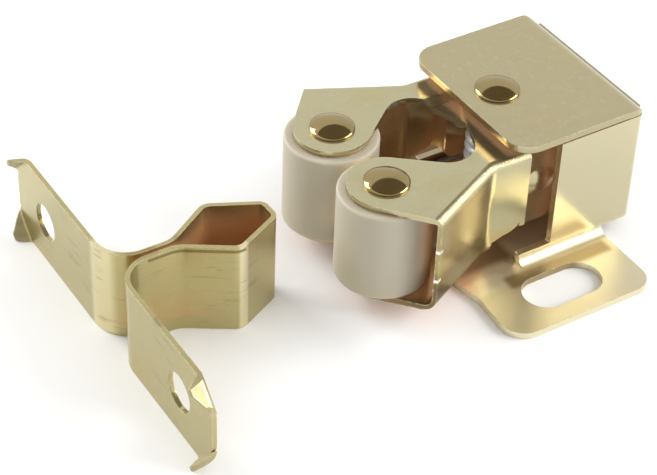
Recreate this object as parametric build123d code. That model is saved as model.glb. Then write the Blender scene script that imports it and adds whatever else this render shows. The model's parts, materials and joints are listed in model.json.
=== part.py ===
from build123d import *
import math
import os

os.makedirs("parts", exist_ok=True)

# Double roller catch with its spear strike, in millimetres, Z up.
# The origin is on the pivot axis, level with the underside of the mounting base.
# The mouth with the two rollers points along -Y, and +X is the side nearer the camera.

# Clearances
running_gap = 0.05
sliding_gap = 0.06
end_gap = 0.10

# Case, one folded sheet
case_sheet = 0.75
case_height = 16.0
plate_width = 19.9
plate_overhang = 4.2
plate_corner = 2.6
plate_back_corner = 1.6
plate_inset = 0.3
case_back = 12.0
back_bend = 1.8
wall_bend = 1.0
wall_front = 1.35
wall_slit = 0.45
wall_foot = 1.6
foot_bend = 1.1
toe_reach = 2.65
toe_height = 2.0
toe_ease = 0.15
base_front = 9.9
base_waist = 9.25
base_waist_x = 12.2
base_waist_bend = 4.0
flange_tip = 19.0
flange_back = 8.1
flange_corner_front = 2.6
flange_corner_back = 2.2
tongue_half_width = 8.45

# Elongated mounting slots, one in each flange
slot_length = 9.2
slot_width = 4.9
slot_x = 14.55
slot_y = -0.6

# Rivets
pivot_radius = 1.5
roller_pin_radius = 1.4
head_radius = 2.35
head_height = 0.85
head_rim = 0.25
dome_rings = 2
foot_head_height = 0.6
foot_head_ease = 0.2
countersink_radius = 2.2

# Arms, each one folded sheet
arm_sheet = 0.65
arm_lift = 2.1
arm_top = case_height - arm_lift
arm_bend = 0.9
arm_low_bend = 1.5
web_front_y = -15.25
web_front_x = 12.8
knee_y = -6.0
knee_x = 8.3
knee_bend = 2.2
web_rear_y = -1.3
rear_web_foot = 3.7
rear_web_corner = 2.6
rear_web_step_y = -5.4
bottom_rear_x = 7.0
split_height = 3.3
ear_radius = 4.05
tongue_radius = 3.5
notch_x = 7.75
notch_y = -6.85
notch_bend = 3.1
step_zone_y = -8.0
joggle_outer = 4.75
joggle_inner = 3.75
tail_x = 6.9
tail_rear_y = 3.4
tail_foot = 3.3
tail_corner = 1.4
tail_flat_x = 3.95
dimple_radius = 1.95
dimple_height = 0.5
dimple_y = 1.2
dimple_rise = 0.4
link_length = 0.8
link_foot = 4.6

# Rollers
roller_x = 5.1
roller_y = -16.7
roller_radius = 4.95
roller_edge = 0.4

# Torsion spring
wire_radius = 0.45
wire_sides = 6
coil_radius = 2.4
coil_turns = 5
coil_runs = 16
coil_gap = 0.49
leg_seat = 2.0
leg_length = 5.9

# Strike, one folded strip standing on its long edge
strip = 0.5
strip_width = 10.5
strike_nose_y = -26.4
strike_x = -0.6
strike_yaw = 0.0
strike_depth = 17.85
nose_half_width = 1.15
nose_bend = 0.9
head_half_width = 4.0
head_length = 5.6
head_bend = 1.3
neck_start = 10.9
neck_half_gap = 0.2
neck_bend = 3.0
leg_bend = 3.55
leg_reach = 20.5
leg_lean = 0.65
screw_hole_radius = 2.1
screw_hole_x = 14.2
prong_cut = 2.9
prong_bend = 0.35
prong_angle = 75
prong_length = 1.35
prong_skew = 0.7
leg_end_corner = 1.6

mid_height = case_height / 2
plate_under = case_height - case_sheet
wall_outer = plate_width / 2 - plate_inset
wall_inner = wall_outer - case_sheet
ear_top_under = arm_top - arm_sheet
roller_height = ear_top_under - (arm_lift + arm_sheet) - 2 * end_gap
joggle_drop = arm_sheet + sliding_gap
coil_foot = tail_foot + leg_seat
coil_head = ear_top_under - joggle_drop - coil_gap - wire_radius
coil_pitch = (coil_head - coil_foot) / (coil_turns + 0.25)


def prism(face, low, high):
    """Returns the face on the XY plane extruded from one height to another."""
    return Pos(0, 0, low) * extrude(face, amount=high - low)


def polygon(points):
    """Returns a face on the XY plane from a list of corner points."""
    return make_face(Polyline(*points, close=True))


def side_prism(points, half_width):
    """Returns a YZ outline extruded along X to both sides of the centre."""
    face = make_face(Polyline(*[(0, y, z) for y, z in points], close=True))
    return extrude(face, amount=half_width, dir=(1, 0, 0), both=True)


def mirrored(part):
    """Returns the part mirrored to the other side of the YZ plane."""
    return mirror(part, about=Plane.YZ)


def cylinder(x, y, low, high, radius):
    """Returns a vertical cylinder between two heights."""
    return Pos(x, y, (low + high) / 2) * Cylinder(radius, high - low)


def dome_steps(radius, low, high):
    """Returns radius and height pairs that climb a shallow dome in equal steps."""
    rise = high - low
    ball = (radius * radius + rise * rise) / (2 * rise)
    widest = math.asin(radius / ball)
    points = []
    for step in range(dome_rings + 1):
        angle = widest * (1 - step / dome_rings)
        points.append((ball * math.sin(angle), high - ball + ball * math.cos(angle)))
    points[-1] = (0, high)
    return points


def domed_head(x, y, height_at, radius, height):
    """Returns a domed rivet head resting on a plane."""
    outline = [(0, 0), (radius, 0)] + dome_steps(radius, head_rim, height)
    face = make_face(Polyline(*outline, close=True))
    head = revolve(Plane.XZ * face, axis=Axis.Z)
    return Pos(x, y, height_at) * head


def tangent_point(outside, centre, radius, turn):
    """Returns where a line from a point outside a circle touches the circle."""
    dx = outside[0] - centre[0]
    dy = outside[1] - centre[1]
    distance = math.hypot(dx, dy)
    angle = math.atan2(dy, dx) + turn * math.acos(radius / distance)
    return (centre[0] + radius * math.cos(angle), centre[1] + radius * math.sin(angle))


def case_cover():
    """Returns the top plate with the fold down to the back wall."""
    outline = [
        (-plate_overhang, case_height),
        (case_back, case_height),
        (case_back, plate_under - 1.3),
        (case_back - case_sheet, plate_under - 1.3),
        (case_back - case_sheet, plate_under),
        (-plate_overhang, plate_under),
    ]
    cover = side_prism(outline, plate_width / 2)
    outer_edge = cover.edges().filter_by(Axis.X).filter_by_position(Axis.Y, case_back - 0.01, case_back + 0.01)
    cover = fillet(outer_edge.sort_by(Axis.Z)[-1], back_bend)
    inner_edge = cover.edges().filter_by(Axis.X).filter_by_position(Axis.Z, plate_under - 0.01, plate_under + 0.01)
    cover = fillet(inner_edge.sort_by(Axis.Y)[-1], back_bend - case_sheet)
    for side in (-1, 1):
        trim_x = wall_outer - wall_bend + 20
        trim = Pos(side * trim_x, case_back, plate_under - 2) * Box(40, 8, 4)
        cover = cover - trim
    plan = Pos(0, -plate_overhang) * Rectangle(plate_width, plate_overhang + case_back, align=(Align.CENTER, Align.MIN))
    ends = plan.vertices().sort_by(Axis.Y)
    plan = fillet(ends[:2], plate_corner)
    plan = fillet(plan.vertices().group_by(Axis.Y)[-1], plate_back_corner)
    return cover & prism(plan, 0, case_height + 1)


def case_walls():
    """Returns the side walls and the back wall, bent round the back corners."""
    front = wall_front
    outer = Rectangle(2 * wall_outer, case_back - front, align=(Align.CENTER, Align.MIN))
    outer = Pos(0, front) * outer
    outer = fillet(outer.vertices().sort_by(Axis.Y)[-2:], wall_bend)
    inner = Rectangle(2 * wall_inner, case_back - case_sheet - front + 1, align=(Align.CENTER, Align.MIN))
    inner = Pos(0, front - 1) * inner
    inner = fillet(inner.vertices().sort_by(Axis.Y)[-2:], wall_bend - case_sheet)
    shell = prism(outer - inner, wall_foot, plate_under)
    slit = Pos(0, 0, plate_under) * Box(60, 2 * (case_back + 5), 2 * wall_slit)
    keep_width = 2 * (wall_outer - wall_bend)
    keep = Pos(0, case_back, plate_under) * Box(keep_width, 2 * case_sheet + 1, 4 * wall_slit)
    return shell - (slit - keep)


def foot_fold():
    """Returns the fold from the near side wall out to the flange."""
    centre_x = wall_outer + foot_bend
    centre_z = case_sheet + foot_bend
    rear = flange_back
    length = rear + toe_reach
    ring = Circle(foot_bend + case_sheet) - Circle(foot_bend)
    corner = Rectangle(10, 10, align=(Align.MAX, Align.MAX))
    quarter = ring & corner
    quarter = Plane.XZ * quarter
    fold = Pos(centre_x, rear, centre_z) * extrude(quarter, amount=length)
    outline = [
        (wall_front + 1, centre_z - 0.05),
        (-toe_reach, centre_z - 0.05),
        (-toe_reach, toe_height - toe_ease / 2),
        (-toe_reach + toe_ease, toe_height),
        (wall_front - toe_ease, toe_height),
        (wall_front, toe_height + toe_ease),
        (wall_front + 1, toe_height + toe_ease),
    ]
    toe = side_prism(outline, 40) & Pos((wall_outer + wall_inner) / 2, 0, 0) * Box(case_sheet, 60, 60)
    skirt_outline = [
        (wall_front, centre_z - 0.05),
        (rear, centre_z - 0.05),
        (rear, centre_z + 1),
        (wall_front, centre_z + 1),
    ]
    skirt = side_prism(skirt_outline, 40) & Pos((wall_outer + wall_inner) / 2, 0, 0) * Box(case_sheet, 60, 60)
    return fold + toe + skirt


def case_base():
    """Returns the flat base with both slotted flanges."""
    points = [
        (0, -base_front),
        (base_waist_x - 3.5, -base_front),
        (base_waist_x, -base_waist),
        (flange_tip, -base_waist - 0.6),
        (flange_tip, flange_back),
        (0, flange_back),
    ]
    half = polygon(points)
    corners = half.vertices().filter_by_position(Axis.X, flange_tip - 0.01, flange_tip + 0.01).sort_by(Axis.Y)
    half = fillet(corners[0], flange_corner_front)
    corners = half.vertices().filter_by_position(Axis.X, flange_tip - 0.01, flange_tip + 0.01).sort_by(Axis.Y)
    half = fillet(corners[-1], flange_corner_back)
    waist = half.vertices().filter_by_position(Axis.X, base_waist_x - 0.01, base_waist_x + 0.01)
    half = fillet(waist, base_waist_bend)
    slot = Pos(slot_x, slot_y) * Rot(0, 0, 90) * SlotOverall(slot_length, slot_width)
    relief_x = wall_outer + foot_bend
    relief = polygon([
        (tongue_half_width, -toe_reach),
        (relief_x, -toe_reach),
        (relief_x, flange_back + 1),
        (tongue_half_width, flange_back + 1),
    ])
    half = half - slot - relief
    plate = prism(half, 0, case_sheet)
    return plate + mirrored(plate)


def make_case():
    """Returns the whole case as one folded sheet."""
    fold = foot_fold()
    case = case_base() + case_walls() + case_cover() + fold + mirrored(fold)
    case = case - cylinder(0, 0, -1, case_height + 1, pivot_radius)
    sink = Pos(0, 0, case_sheet / 2) * Cone(countersink_radius, pivot_radius, case_sheet)
    return case - sink


def make_pivot_rivet():
    """Returns the pivot rivet, domed above the plate and flush below the base."""
    shank = cylinder(0, 0, case_sheet, case_height, pivot_radius)
    sink = Pos(0, 0, case_sheet / 2) * Cone(countersink_radius, pivot_radius, case_sheet)
    return shank + sink + domed_head(0, 0, case_height, head_radius, head_height)


def arm_outline(bottom):
    """Returns the plan area of the near arm's upper or lower half, open past the web."""
    centre = (roller_x, roller_y)
    front = (web_front_x, web_front_y)
    past = web_front_x + 3
    front_touch = tangent_point(front, centre, ear_radius, -1)
    notch = (notch_x, notch_y)
    inner_touch = tangent_point(notch, centre, ear_radius, 1)
    tongue_touch = tangent_point(notch, (0, 0), tongue_radius, -1)
    if bottom:
        rear = (bottom_rear_x, rear_web_step_y)
        tail_touch = tangent_point(rear, (0, 0), tongue_radius, 1)
        back_points = [(past, rear_web_step_y), rear, tail_touch]
    else:
        flat_x = tail_x - arm_bend
        back_points = [
            (past, web_rear_y),
            (flat_x, web_rear_y),
            (flat_x, tail_rear_y),
            (tail_flat_x, tail_rear_y),
            (tail_flat_x, 0),
        ]
    corners = [front, (past, web_front_y)] + back_points + [(0, 0), tongue_touch, notch, inner_touch, centre, front_touch]
    body = polygon(corners)
    notch_vertices = [v for v in body.vertices() if abs(v.X - notch[0]) < 0.01 and abs(v.Y - notch[1]) < 0.01]
    body = fillet(notch_vertices, notch_bend)
    return body + Pos(*centre) * Circle(ear_radius) + Circle(tongue_radius)


def web_strip(inset, reach):
    """Returns the plan area of the near arm outside a line set in from its web."""
    slope = math.hypot(web_front_x - knee_x, web_front_y - knee_y)
    along_x = (web_front_x - knee_x) / slope
    along_y = (web_front_y - knee_y) / slope
    shift_x = inset * abs(along_y)
    shift_y = -inset * along_x
    front = (web_front_x - shift_x + 4 * along_x, web_front_y - shift_y + 4 * along_y)
    turn = math.tan(math.atan2(along_x, -along_y) / 2)
    knee = (knee_x - inset, knee_y + inset * turn)
    points = [front, knee, (knee_x - inset, 12), (knee_x - reach, 12), (knee_x - reach, -30), (front[0], -30)]
    area = polygon(points)
    knee_vertices = [v for v in area.vertices() if abs(v.X - knee[0]) < 0.01 and abs(v.Y - knee[1]) < 0.01]
    return fillet(knee_vertices, knee_bend + inset)


def rounded_web(body, level, web_x, radius):
    """Returns the body with its web's edges at one level rounded."""
    web_edges = []
    for edge in body.edges():
        middle = edge @ 0.5
        if abs(middle.Z - level) < 0.01 and middle.X > web_x - 0.05 and -25 < middle.Y < 12 - 0.1:
            web_edges.append(edge)
    return fillet(web_edges, radius)


def channel():
    """Returns the near arm as a channel: web outside, ears above and below."""
    outer = prism(web_strip(0, 30), arm_lift, arm_top)
    outer = rounded_web(outer, arm_top, knee_x, arm_bend)
    outer = rounded_web(outer, arm_lift, knee_x, arm_low_bend)
    inner = prism(web_strip(arm_sheet, 30), arm_lift + arm_sheet, ear_top_under)
    inner = rounded_web(inner, ear_top_under, knee_x - arm_sheet, arm_bend - arm_sheet)
    inner = rounded_web(inner, arm_lift + arm_sheet, knee_x - arm_sheet, arm_low_bend - arm_sheet)
    return outer - inner


def joggled_sheet(top):
    """Returns a level sheet at an ear, stepped towards the middle near the pivot."""
    step = joggle_drop
    high = arm_top
    low = arm_top - arm_sheet
    points = [
        (joggle_outer + 20, high),
        (joggle_outer, high),
        (joggle_inner, high - step),
        (-20, high - step),
        (-20, low - step),
        (joggle_inner, low - step),
        (joggle_outer, low),
        (joggle_outer + 20, low),
    ]
    if not top:
        points = [(x, case_height - z) for x, z in points]
    face = make_face(Polyline(*[(x, 0, z) for x, z in points], close=True))
    return extrude(face, amount=40, dir=(0, 1, 0), both=True)


def dimple(climb):
    """Returns a round bump along +X from radius and X pairs, its root inside the sheet."""
    root = climb[0][1] - 0.1
    outline = [(root, 0), (root, climb[0][0])] + [(x, across) for across, x in climb]
    bump = revolve(make_face(Polyline(*outline, close=True)), axis=Axis.X)
    return Pos(0, dimple_y, mid_height + dimple_rise) * bump


def tail_tab():
    """Returns the tab folded down behind the pivot, with its pressed dimple."""
    flat_x = tail_x - arm_bend
    inner_x = tail_x - arm_sheet
    root = math.sqrt(0.5)
    inner_bend = arm_bend - arm_sheet
    bend_z = arm_top - arm_bend
    outer_arc = ThreePointArc(
        (flat_x, arm_top),
        (flat_x + root * arm_bend, bend_z + root * arm_bend),
        (tail_x, bend_z),
    )
    inner_arc = ThreePointArc(
        (inner_x, bend_z),
        (flat_x + root * inner_bend, bend_z + root * inner_bend),
        (flat_x, ear_top_under),
    )
    down = Polyline((tail_x, bend_z), (tail_x, tail_foot), (inner_x, tail_foot), (inner_x, bend_z))
    close = Line((flat_x, ear_top_under), (flat_x, arm_top))
    profile = make_face(outer_arc.edges() + down.edges() + inner_arc.edges() + close.edges())
    length = tail_rear_y - web_rear_y
    tab = Pos(0, tail_rear_y, 0) * extrude(Plane.XZ * profile, amount=length)
    corners = tab.edges().filter_by(Axis.X).filter_by_position(Axis.Z, tail_foot - 0.01, tail_foot + 0.01)
    tab = fillet(corners, tail_corner)
    bump = dimple(dome_steps(dimple_radius, tail_x, tail_x + dimple_height))
    crown = inner_x + dimple_height
    hollow = dimple([(dimple_radius - 0.3, inner_x), (dimple_radius / 2, crown), (0, crown)])
    return tab + bump - hollow


def tail_link():
    """Returns the slanting step in the sheet that joins the web's rear edge to the tab."""
    web_inner = knee_x - arm_sheet
    tab_inner = tail_x - arm_sheet
    plan = polygon([
        (knee_x, web_rear_y - arm_sheet),
        (knee_x, web_rear_y),
        (tail_x, web_rear_y + link_length),
        (tab_inner, web_rear_y + link_length),
        (tab_inner, web_rear_y + link_length - arm_sheet),
        (web_inner, web_rear_y - arm_sheet),
    ])
    return prism(plan, link_foot, ear_top_under)


def web_side_cut():
    """Returns the cutter that lifts and rounds the lower rear corner of the web."""
    arc_centre = (web_rear_y - rear_web_corner, rear_web_foot + 0.5 + rear_web_corner)
    root = math.sqrt(0.5)
    low = (0, arc_centre[0], arc_centre[1] - rear_web_corner)
    mid = (0, arc_centre[0] + root * rear_web_corner, arc_centre[1] - root * rear_web_corner)
    high = (0, web_rear_y, arc_centre[1])
    before = Polyline((0, web_rear_y, arc_centre[1]), (0, 5, arc_centre[1]), (0, 5, 0), (0, rear_web_step_y, 0))
    rise = Polyline((0, rear_web_step_y, 0), (0, rear_web_step_y, rear_web_foot), low)
    arc = ThreePointArc(low, mid, high)
    face = make_face(before.edges() + rise.edges() + arc.edges())
    cutter = extrude(face, amount=40, dir=(1, 0, 0))
    return Pos(bottom_rear_x, 0, 0) * cutter


def make_near_arm(dropped):
    """Returns the arm on the near side, its pivot tongues outside or dropped inside."""
    top_plan = prism(arm_outline(False), split_height, case_height)
    bottom_plan = prism(arm_outline(True), 0, split_height)
    arm = channel() & (top_plan + bottom_plan)
    arm = arm - web_side_cut()
    arm = arm + tail_tab() + tail_link()
    if dropped:
        zone = Pos(joggle_outer, step_zone_y, mid_height) * Box(40, 40, 40, align=(Align.MAX, Align.MIN, Align.CENTER))
        top_step = joggled_sheet(True) & top_plan & zone
        bottom_step = joggled_sheet(False) & bottom_plan & zone
        arm = arm - zone
        arm = arm + top_step
        arm = arm + bottom_step
    arm = arm - cylinder(0, 0, 0, case_height, pivot_radius + running_gap)
    arm = arm - cylinder(roller_x, roller_y, 0, case_height, roller_pin_radius)
    return arm


def make_roller():
    """Returns the near roller, a plain bored cylinder with eased rims."""
    roller = Cylinder(roller_radius, roller_height)
    roller = chamfer(roller.edges().filter_by(GeomType.CIRCLE), roller_edge)
    roller = roller - Cylinder(roller_pin_radius + running_gap, roller_height + 2)
    return Pos(roller_x, roller_y, mid_height) * roller


def make_roller_rivet():
    """Returns the near roller rivet with a domed head above and a low flat head below."""
    shank = cylinder(roller_x, roller_y, arm_lift, arm_top, roller_pin_radius)
    top = domed_head(roller_x, roller_y, arm_top, head_radius, head_height)
    foot = cylinder(roller_x, roller_y, arm_lift - foot_head_height, arm_lift, head_radius)
    foot = chamfer(foot.edges().group_by(Axis.Z)[0], foot_head_ease)
    return shank + top + foot


def coil_points():
    """Returns points along the coil's centre line, so close together that it looks round."""
    points = []
    for step in range(round(coil_runs * (coil_turns + 0.25)) + 1):
        turn = step / coil_runs
        angle = math.radians(360 * turn - 135)
        height = coil_foot + coil_pitch * turn
        points.append((coil_radius * math.cos(angle), coil_radius * math.sin(angle), height))
    return points


def make_spring():
    """Returns the torsion spring, its legs pressing on the tail tabs."""
    coil_path = Polyline(*coil_points())
    start = coil_path @ 0
    end = coil_path @ 1
    section = Plane(origin=start, z_dir=coil_path % 0) * RegularPolygon(wire_radius, wire_sides)
    spring = sweep(section, path=coil_path, transition=Transition.RIGHT)
    root = math.sqrt(0.5)
    for point, away in ((start, -1), (end, 1)):
        direction = Vector(away * root, root, 0)
        bar = Cylinder(wire_radius - 0.02, leg_length + 0.2, align=(Align.CENTER, Align.CENTER, Align.MIN))
        leg = Plane(origin=point - 0.2 * direction, z_dir=direction) * bar
        spring = spring + leg
    return spring


def strike_path(lean):
    """Returns corner points and bend radii of half the strip's centre line."""
    half = strip / 2
    leg_y = strike_depth - half
    return [
        (0, half, 0),
        (nose_half_width, half, nose_bend),
        (head_half_width - half, head_length, head_bend),
        (neck_half_gap + half, neck_start, neck_bend),
        (neck_half_gap + half, leg_y, leg_bend),
        (leg_reach + lean, leg_y, 0),
    ]


def rounded_line(points):
    """Returns a wire through the points with an arc at every corner with a radius."""
    plain = Polyline(*[(x, y) for x, y, _ in points])
    wire = Wire(plain.edges())
    for x, y, radius in points:
        if radius > 0:
            corner = [v for v in wire.vertices() if abs(v.X - x) < 0.01 and abs(v.Y - y) < 0.01]
            wire = wire.fillet_2d(radius, corner)
    return wire


def prong():
    """Returns one corner prong: X out from its fold, Y towards the door, Z along the fold."""
    turn = math.radians(prong_angle)
    near = prong_bend
    far = prong_bend + strip
    centre = strip / 2 + prong_bend
    run = (prong_length * math.cos(turn), prong_length * math.sin(turn))
    near_end = (near * math.sin(turn), centre - near * math.cos(turn))
    near_mid = (near * math.sin(turn / 2), centre - near * math.cos(turn / 2))
    far_end = (far * math.sin(turn), centre - far * math.cos(turn))
    far_mid = (far * math.sin(turn / 2), centre - far * math.cos(turn / 2))
    near_tip = (near_end[0] + run[0], near_end[1] + run[1])
    far_tip = (far_end[0] + run[0], far_end[1] + run[1])
    near_arc = ThreePointArc((0, strip / 2), near_mid, near_end)
    far_arc = ThreePointArc((0, -strip / 2), far_mid, far_end)
    straight = Polyline(near_end, near_tip, far_tip, far_end)
    root = Line((0, strip / 2), (0, -strip / 2))
    profile = make_face(near_arc.edges() + straight.edges() + far_arc.edges() + root.edges())
    half_width = prong_cut / math.sqrt(2)
    band = extrude(profile, amount=half_width, both=True)
    top = near_tip[1] + 0.1
    taper = [
        (-strip, -half_width),
        (-strip, half_width),
        (strip / 2, half_width),
        (top, prong_skew + 0.12),
        (top, prong_skew - 0.12),
        (strip / 2, -half_width),
    ]
    wedge = extrude(make_face(Polyline(*[(0, y, z) for y, z in taper], close=True)), amount=5, dir=(1, 0, 0), both=True)
    return band & wedge


def leg_end_outline(end_x):
    """Returns the area of a strip end with both corners cut away, on the XZ plane."""
    points = [
        (-5, 0),
        (end_x - prong_cut, 0),
        (end_x, prong_cut),
        (end_x, strip_width - prong_cut),
        (end_x - prong_cut, strip_width),
        (-5, strip_width),
    ]
    area = polygon(points)
    ends = area.vertices().filter_by_position(Axis.X, end_x - 0.01, end_x + 0.01)
    return Plane.XZ * fillet(ends, leg_end_corner)


def half_strike(lean):
    """Returns half the strike along +X, its leg longer by the lean, nose at the origin."""
    path = rounded_line(strike_path(lean))
    section = Plane(origin=path @ 0, x_dir=(0, 1, 0), z_dir=path % 0) * Rectangle(strip, strip_width)
    half = Pos(0, 0, strip_width / 2) * sweep(section, path=path)
    leg_y = strike_depth - strip / 2
    end_x = leg_reach + lean
    half = half & extrude(leg_end_outline(end_x), amount=60, both=True)
    hole = Pos(screw_hole_x + lean, leg_y, strip_width / 2) * Rot(90, 0, 0) * Cylinder(screw_hole_radius, 4 * strip)
    half = half - hole
    fold_mid = (end_x - prong_cut / 2, leg_y, strip_width - prong_cut / 2)
    room = Pos(end_x, leg_y, strip_width) * Box(20, 20, strip_width, align=(Align.MAX, Align.CENTER, Align.MAX))
    upper = (Plane(origin=fold_mid, x_dir=(1, 0, 1), z_dir=(-1, 0, 1)) * prong()) & room
    lower = mirror(upper, about=Plane.XY.offset(strip_width / 2))
    return half + upper + lower


def make_strike():
    """Returns the spear strike in its place in front of the rollers."""
    strike = half_strike(leg_lean) + mirrored(half_strike(-leg_lean))
    strike = Rot(0, 0, 180) * strike
    return Pos(strike_x, strike_nose_y, 0) * Rot(0, 0, strike_yaw) * strike


def save(part, name):
    """Writes one part to its STEP file and reports its size."""
    solids = part.solids()
    whole = solids[0] if len(solids) == 1 else Compound(children=solids)
    export_step(whole, f"parts/{name}.step")
    box = whole.bounding_box()
    print(name, "solids", len(solids), "volume", round(whole.volume, 1), "box", box.min, box.max)


near_arm = make_near_arm(False)
far_arm = mirrored(make_near_arm(True))
roller = make_roller()
roller_rivet = make_roller_rivet()

save(make_case(), "case")
save(make_pivot_rivet(), "pivot_rivet")
save(near_arm, "right_arm")
save(far_arm, "left_arm")
save(roller, "right_roller")
save(mirrored(roller), "left_roller")
save(roller_rivet, "right_roller_rivet")
save(mirrored(roller_rivet), "left_roller_rivet")
save(make_spring(), "torsion_spring")
save(make_strike(), "strike")
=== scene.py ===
"""The looks of the double roller catch: plated sheet, nylon rollers, rivets, spring and strike."""

from __future__ import annotations

import json
import logging
import math
from dataclasses import dataclass, replace
from enum import Enum
from functools import cached_property
from typing import Sequence, Union

import bmesh
import bpy
from mathutils import Matrix, Vector

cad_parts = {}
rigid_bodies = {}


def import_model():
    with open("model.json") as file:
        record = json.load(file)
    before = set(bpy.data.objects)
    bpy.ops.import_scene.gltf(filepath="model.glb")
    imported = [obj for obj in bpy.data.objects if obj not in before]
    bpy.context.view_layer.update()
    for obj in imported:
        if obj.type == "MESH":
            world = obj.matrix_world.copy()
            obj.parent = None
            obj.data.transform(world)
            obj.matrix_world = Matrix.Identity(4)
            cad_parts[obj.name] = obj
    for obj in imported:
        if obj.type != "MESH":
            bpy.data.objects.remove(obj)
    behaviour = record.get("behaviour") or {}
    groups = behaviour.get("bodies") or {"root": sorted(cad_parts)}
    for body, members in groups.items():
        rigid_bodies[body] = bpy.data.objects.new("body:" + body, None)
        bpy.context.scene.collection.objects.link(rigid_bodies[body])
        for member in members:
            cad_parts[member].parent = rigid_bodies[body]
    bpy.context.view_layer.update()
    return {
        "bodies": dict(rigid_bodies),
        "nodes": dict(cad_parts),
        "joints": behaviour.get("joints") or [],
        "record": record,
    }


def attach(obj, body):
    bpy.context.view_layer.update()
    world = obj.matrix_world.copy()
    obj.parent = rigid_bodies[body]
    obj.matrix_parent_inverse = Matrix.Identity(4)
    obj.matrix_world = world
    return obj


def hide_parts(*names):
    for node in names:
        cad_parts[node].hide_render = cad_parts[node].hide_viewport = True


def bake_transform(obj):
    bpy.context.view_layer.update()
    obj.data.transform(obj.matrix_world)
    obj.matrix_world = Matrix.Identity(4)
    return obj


MM = 0.001
SOCKET_KINDS = {1: "NodeSocketFloat", 3: "NodeSocketVector", 4: "NodeSocketColor"}
NUMBER_RESULTS = ("DOT_PRODUCT", "DISTANCE", "LENGTH")

# Small dents that the press tool left on the near arm: x, y, z and reach of each, in mm.
PRESS_DENTS = (
    (10.15, -9.80, 8.89, 0.22),
    (10.70, -10.93, 7.70, 0.26),
    (10.50, -10.55, 8.35, 0.18),
    (9.45, -8.30, 6.10, 0.20),
)
DENT_FLOOR = 0.3  # The share of a dent's reach that is at full depth.

Point = tuple[float, float, float]
Section = list[tuple[float, float]]
Material = bpy.types.Material
Node = bpy.types.Node
Outputs = bpy.types.NodeOutputs
Piece = bpy.types.Object
Socket = bpy.types.NodeSocket
Tree = bpy.types.NodeTree
Value = Union[Socket, "Tone", float, Sequence[float]]

log = logging.getLogger("double_roller_catch")


def circle(steps: int) -> list[tuple[float, float]]:
    """Returns points spread evenly round a circle of radius 1."""
    angles = [2 * math.pi * step / steps for step in range(steps)]
    return [(math.cos(angle), math.sin(angle)) for angle in angles]


def spaced(label: str) -> str:
    """Returns a socket's name from a keyword, which has _ for each space."""
    return label.replace("_", " ")


class Side(Enum):
    """Which of the two mirrored halves a piece belongs to."""

    RIGHT = 1
    LEFT = -1

    @property
    def word(self) -> str:
        """Returns the word that starts the names of this side's pieces."""
        return self.name.lower()


class Grain(Enum):
    """How the fine marks of a surface are drawn out."""

    ALONG_Y = (1.0, 0.12, 1.0)
    ALONG_Z = (1.0, 1.0, 0.12)
    NONE = (1.0, 1.0, 1.0)


@dataclass(frozen=True)
class Tone:
    """A linear colour."""

    red: float
    green: float
    blue: float

    def rgba(self) -> tuple[float, float, float, float]:
        """Returns the colour with full opacity."""
        return (self.red, self.green, self.blue, 1.0)


@dataclass(frozen=True)
class Zone:
    """A soft-edged box, in millimetres, that tints a finish, under its painted brown shade or over
    it; most zones are painted shade or painted highlights.
    """

    low: Point
    high: Point
    fade: float
    tone: Tone
    share: float = 1.0
    dull: float = 0.0
    over_shade: bool = False

    def with_mirrored(self) -> tuple[Zone, Zone]:
        """Returns the zone and its mirror image on the other side of the part."""
        (left, *low), (right, *high) = self.low, self.high
        return self, replace(self, low=(-right, *low), high=(-left, *high))


CASE_ZONES = (
    # Everything below the top plate, painted lighter: a painted reflection of the bright floor and
    # flanges.
    Zone((-30, -30, -1), (30, 30, 14.9), 0.4, Tone(0.590, 0.532, 0.350)),
    # The base with its flanges, painted palest as a painted sheen, and the dullest part.
    Zone((-30, -30, -1), (30, 30, 1.0), 1.2, Tone(0.800, 0.730, 0.520), dull=0.20),
    # Painted shadow in the slit between the top plate and the walls.
    Zone((-11, -30, 14.9), (11, 9.6, 15.22), 0.1, Tone(0.090, 0.052, 0.020), 0.95, 0.25, True),
    # The cut front edge of the top plate, painted brown: painted shade.
    Zone((-12, -7, 15.2), (12, -4.0, 15.8), 0.12, Tone(0.380, 0.250, 0.105), 0.9, 0.1, True),
    # The fold at the back of the top plate.
    Zone((-30, 11.4, 14.8), (30, 30, 20), 0.3, Tone(0.400, 0.360, 0.235), 0.9, dull=0.25),
    # The foot of the far wall, in the shade of the case.
    Zone((-14, -5, -1), (-9, 4, 1.5), 1.0, Tone(0.200, 0.115, 0.055), 1.0, 0.15, True),
    # Painted brown shade on the base under the near arm.
    Zone((4, -14, -1), (7.8, -3, 1.0), 1.3, Tone(0.300, 0.195, 0.085), 0.9, 0.0, True),
    # A painted highlight on the toe in front of each wall, and a painted brown reflection along
    # each wall's foot.
    *Zone((10.2, -9.2, -1), (11.6, -5.6, 1.0), 1.0, Tone(0.960, 0.920, 0.720), 0.9).with_mirrored(),
    *Zone((11.2, -5, -1), (12.2, 7, 1.0), 0.9, Tone(0.330, 0.235, 0.105), 0.85).with_mirrored(),
)
ARM_ZONES = (
    # Painted shade on the web between the two sheets, and darker painted shade on its lower half.
    Zone((-30, -30, 3.2), (30, -7.0, 12.6), 1.0, Tone(0.390, 0.310, 0.140)),
    Zone((-30, -30, 2.0), (30, -8.5, 5.6), 2.4, Tone(0.150, 0.102, 0.038), 0.9),
    # A painted dark reflection along the lower edge of the upper sheet, just over the roller.
    Zone((-10.3, -25, 13.0), (10.3, -14.2, 13.34), 0.1, Tone(0.170, 0.125, 0.050), 0.9),
    # Two bright nicks on the web's front edge.
    Zone((11.5, -17, 9.65), (13.5, -14.8, 9.9), 0.12, Tone(0.950, 0.930, 0.850)),
    Zone((11.5, -17, 5.95), (13.5, -14.8, 6.2), 0.12, Tone(0.950, 0.930, 0.850)),
)
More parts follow.
